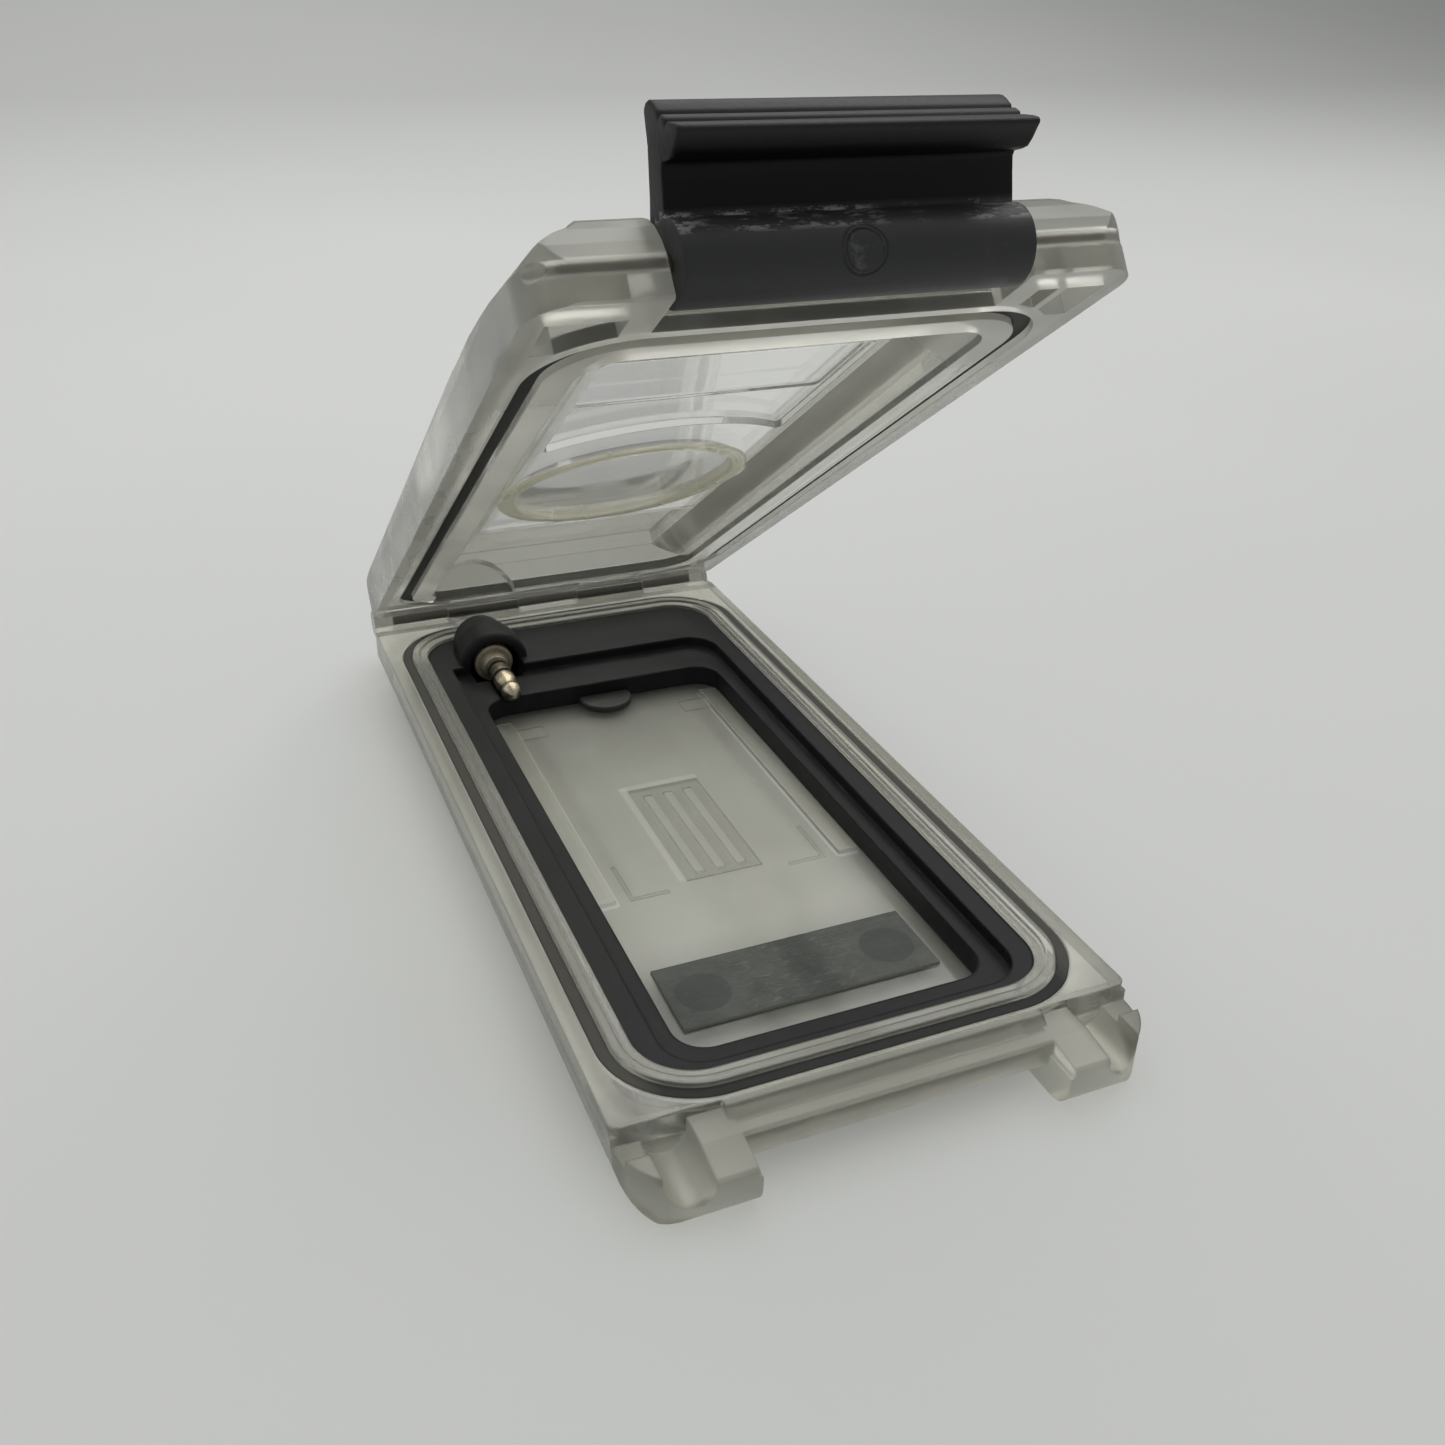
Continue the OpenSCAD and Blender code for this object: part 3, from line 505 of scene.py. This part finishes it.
def lid_ring(name, section, centre_y, base_z):
    """A ring round the wheel opening from (radius, height) pairs, turned up with the lid."""
    shape = bmesh.new()
    loop = [shape.verts.new((r * MM, centre_y, base_z + h * MM)) for r, h in section]
    edges = [shape.edges.new(pair) for pair in zip(loop, loop[1:] + loop[:1])]
    bmesh.ops.spin(shape, geom=loop + edges, cent=(0.0, centre_y, 0.0), axis=(0.0, 0.0, 1.0),
        angle=math.radians(360), steps=128, use_merge=True)
    bmesh.ops.remove_doubles(shape, verts=shape.verts, dist=1e-6)
    bmesh.ops.recalc_face_normals(shape, faces=shape.faces)
    bmesh.ops.rotate(shape, verts=shape.verts, cent=HINGE,
        matrix=Matrix.Rotation(-LID_OPEN, 3, "X"))
    mesh = bpy.data.meshes.new(name)
    shape.to_mesh(mesh)
    shape.free()
    for face in mesh.polygons:
        face.use_smooth = True
    mesh.set_sharp_from_angle(angle=math.radians(50))
    piece = bpy.data.objects.new(name, mesh)
    bpy.context.collection.objects.link(piece)
    return piece


WHEEL_RING = lid_ring("wheel_ring", RING_SECTION, 8.3 * MM, 12.4 * MM)
WHEEL_RING.data.materials.append(RING.lets_light_through((0.92, 0.91, 0.82)))
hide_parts("membrane_ring")
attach(WHEEL_RING, "lid")


# The latch is a black plastic hook bar that turns on a steel pin through the lid's lugs.
# Use has left pale scuffs along its edges and barrel; the pale line along the barrel's top is partly a
# painted highlight, and painted shade and light set the plate darker than the barrel and lip.


BARREL = (-43.517 * MM, 85.815 * MM)
GATE = (-0.4 * MM, -47.1 * MM, 86.9 * MM)


def scuffed_black():
    """Black plastic, paler where it has rubbed, with the round gate mark on its barrel; painted shade
    darkens its flat plate, and painted light lifts its barrel, its lip and a line along the barrel's top.
    """
    made = Finish("latch_black", Specular_IOR_Level=0.24)
    smear = made.noise(70.0, 5.0, 0.7, made.stretched((0.35, 1.0, 1.0)))
    scuff = made.ramp(smear, 0.62, 0.8)
    grain = made.noise(1500.0, 3.0)
    ring = made.away(GATE)
    groove = made.ramp(ring, 1.7 * MM, 1.95 * MM) * made.ramp(ring, 2.1 * MM, 2.35 * MM, 1.0, 0.0)
    chips = made.ramp(made.noise(420.0, 4.0, 0.7), 0.6, 0.68) * made.ramp(ring, 1.9 * MM, 3.4 * MM, 1.0, 0.0)
    parts = made.axes()
    near = made.node("ShaderNodeVectorMath", {"operation": "DISTANCE"}, {
        0: made.node("ShaderNodeCombineXYZ", None, {1: parts[1], 2: parts[2]}),
        1: (0.0, *BARREL)}, out="Value")
    tube = made.ramp(near, 4.0 * MM, 4.6 * MM, 1.0, 0.0)
    lip = made.ramp(parts[2], 95.0 * MM, 96.5 * MM)
    # Painted shade and light: the flat plate is darkest, and the barrel and the lip are lifted lighter.
    black = made.blend(tube + 0.4 * lip, (0.001, 0.001, 0.0014), (0.042, 0.0425, 0.044))
    flake = made.ramp(made.noise(900.0, 4.0, 0.8, made.stretched((0.35, 1.0, 1.0))), 0.5, 0.58)
    ridge = made.ramp(near, 3.7 * MM, 3.9 * MM) * made.ramp(near, 4.5 * MM, 4.8 * MM, 1.0, 0.0)
    along = made.ramp(made.noise(60.0, 2.0, 0.5, made.stretched((1.0, 0.0, 0.0))), 0.44, 0.5)
    high = made.ramp(parts[2], 88.6 * MM, 88.9 * MM) * made.ramp(parts[2], 89.6 * MM, 90.0 * MM, 1.0, 0.0)
    corner = made.ramp(parts[0], 11.5 * MM, 16.5 * MM) * tube * made.ramp(made.noise(170.0, 3.0), 0.5, 0.62)
    # Pale flakes along the barrel's top edge, partly scuffs and partly a painted highlight, with chips near
    # its right end.
    worn = flake * ridge * along * high + 0.11 * corner
    made.feed(
        Base_Color=made.blend(worn, made.blend(scuff + chips, black, (0.085, 0.085, 0.09)),
            (0.42, 0.42, 0.40)),
        Roughness=0.44 + 0.2 * scuff + 0.08 * grain,
        Normal=made.bump(0.1 * grain - groove, 0.8, 0.0004, 0.7 * MM))
    return made.material


def softened(node, name, width):
    """A copy of a CAD solid, welded, with its moulded edges rounded."""
    shape = bmesh.new()
    shape.from_mesh(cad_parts[node].data)
    bmesh.ops.remove_doubles(shape, verts=shape.verts, dist=1e-6)
    bmesh.ops.dissolve_limit(shape, angle_limit=math.radians(1.5), verts=shape.verts,
        edges=shape.edges)
    mesh = bpy.data.meshes.new(name)
    shape.to_mesh(mesh)
    shape.free()
    piece = bpy.data.objects.new(name, mesh)
    bpy.context.collection.objects.link(piece)
    for face in mesh.polygons:
        face.use_smooth = True
    rounding = piece.modifiers.new("rounding", "BEVEL")
    rounding.width = width
    rounding.segments = 4
    rounding.limit_method = "ANGLE"
    rounding.angle_limit = math.radians(38)
    rounding.harden_normals = True
    return piece


LATCH_BAR = softened("latch", "latch_bar", 0.45 * MM)
LATCH_BAR.data.materials.append(scuffed_black())
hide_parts("latch")
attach(LATCH_BAR, "latch")


# The two pins are plain steel wire with a brown tinge, seen through the clear knuckles.

PIN_STEEL = plated("pin_steel", (0.30, 0.26, 0.21), (0.16, 0.12, 0.09), 0.3)
for part in ("latch_pin", "hinge_pin"):
    dress(part, PIN_STEEL)


# The floor is a pale sheet that sweeps up behind the case, under soft overhead light; its colour carries a
# painted pool of light and painted shade up the sweep.


def pale_sheet():
    profile = bmesh.new()
    start = profile.verts.new((-3.0, -2.0, 0.0))
    end = profile.verts.new((3.0, -2.0, 0.0))
    edge = profile.edges.new((start, end))
    reach = bmesh.ops.extrude_edge_only(profile, edges=[edge])
    front = [v for v in reach["geom"] if isinstance(v, bmesh.types.BMVert)]
    bmesh.ops.translate(profile, verts=front, vec=(0.0, 2.5, 0.0))
    bend = [e for e in reach["geom"] if isinstance(e, bmesh.types.BMEdge)
        and all(v in front for v in e.verts)]
    bmesh.ops.spin(profile, geom=bend + front, cent=(0.0, 0.5, 1.6), axis=(1.0, 0.0, 0.0),
        angle=math.radians(80), steps=32)
    mesh = bpy.data.meshes.new("pale_sheet")
    bmesh.ops.recalc_face_normals(profile, faces=profile.faces)
    profile.to_mesh(mesh)
    profile.free()
    for face in mesh.polygons:
        face.use_smooth = True
    sheet = bpy.data.objects.new("pale_sheet", mesh)
    bpy.context.collection.objects.link(sheet)
    return sheet


sheet = pale_sheet()
made = Finish("sheet_pale", Roughness=0.6, Specular_IOR_Level=0.25)
paper = made.blend(made.ramp(made.noise(3.0, 2.0), 0.3, 0.7), (0.74, 0.75, 0.745), (0.77, 0.78, 0.775))
# A painted pool of light: the sheet is darker away from a spot just left of and behind the case.
light_pool = made.ramp(made.away((-0.12, 0.22, 0.0)), 0.05, 0.42, 0.93, 0.88)
# Painted shade: the sheet darkens as it rises up the sweep.
sweep_shade = made.ramp(made.axes()[2], 0.0, 0.032, 1.0, 0.82)
made.feed(Base_Color=made.times(paper, light_pool * sweep_shade))
sheet.data.materials.append(made.material)

world = bpy.data.worlds.new("soft_room")
bpy.context.scene.world = world
world.use_nodes = True
world.node_tree.nodes["Background"].inputs["Color"].default_value = (0.985, 1.0, 0.975, 1.0)
world.node_tree.nodes["Background"].inputs["Strength"].default_value = 0.32


def soft_lamp(name, place, aim, width, height, watts, tint):
    lamp = bpy.data.lights.new(name, "AREA")
    lamp.shape = "RECTANGLE"
    lamp.size = width
    lamp.size_y = height
    lamp.energy = watts
    lamp.color = tint
    held = bpy.data.objects.new(name, lamp)
    held.location = place
    held.rotation_euler = (Vector(aim) - Vector(place)).to_track_quat("-Z", "Y").to_euler()
    bpy.context.collection.objects.link(held)


soft_lamp("overhead", (0.26, 0.42, 1.0), (0.0, 0.0, 0.03), 1.5, 1.1, 10.3, (1.0, 0.995, 0.98))
soft_lamp("window", (-0.9, 0.1, 0.7), (0.0, 0.0, 0.03), 0.7, 0.7, 0.7, (0.98, 0.99, 1.0))


# The camera stands left of the latch side and looks down on the open case.

eye = bpy.data.cameras.new("eye")
eye.sensor_width = 36.0
eye.lens = 34.563
eye.clip_start = 0.01
camera = bpy.data.objects.new("eye", eye)
bpy.context.collection.objects.link(camera)
yaw, pitch, roll = (math.radians(a) for a in (23.36767564, 28.67041622, 1.19756596))
forward = Vector((math.sin(yaw) * math.cos(pitch), math.cos(yaw) * math.cos(pitch), -math.sin(pitch)))
right = Vector((math.cos(yaw), -math.sin(yaw), 0.0))
upward = right.cross(forward)
across = math.cos(roll) * right + math.sin(roll) * upward
over = -math.sin(roll) * right + math.cos(roll) * upward
turn = Matrix((across, over, -forward)).transposed()
camera.matrix_world = Matrix.Translation((-0.061401, -0.158875, 0.108615)) @ turn.to_4x4()
bpy.context.scene.camera = camera

bpy.context.scene.view_settings.view_transform = "Standard"
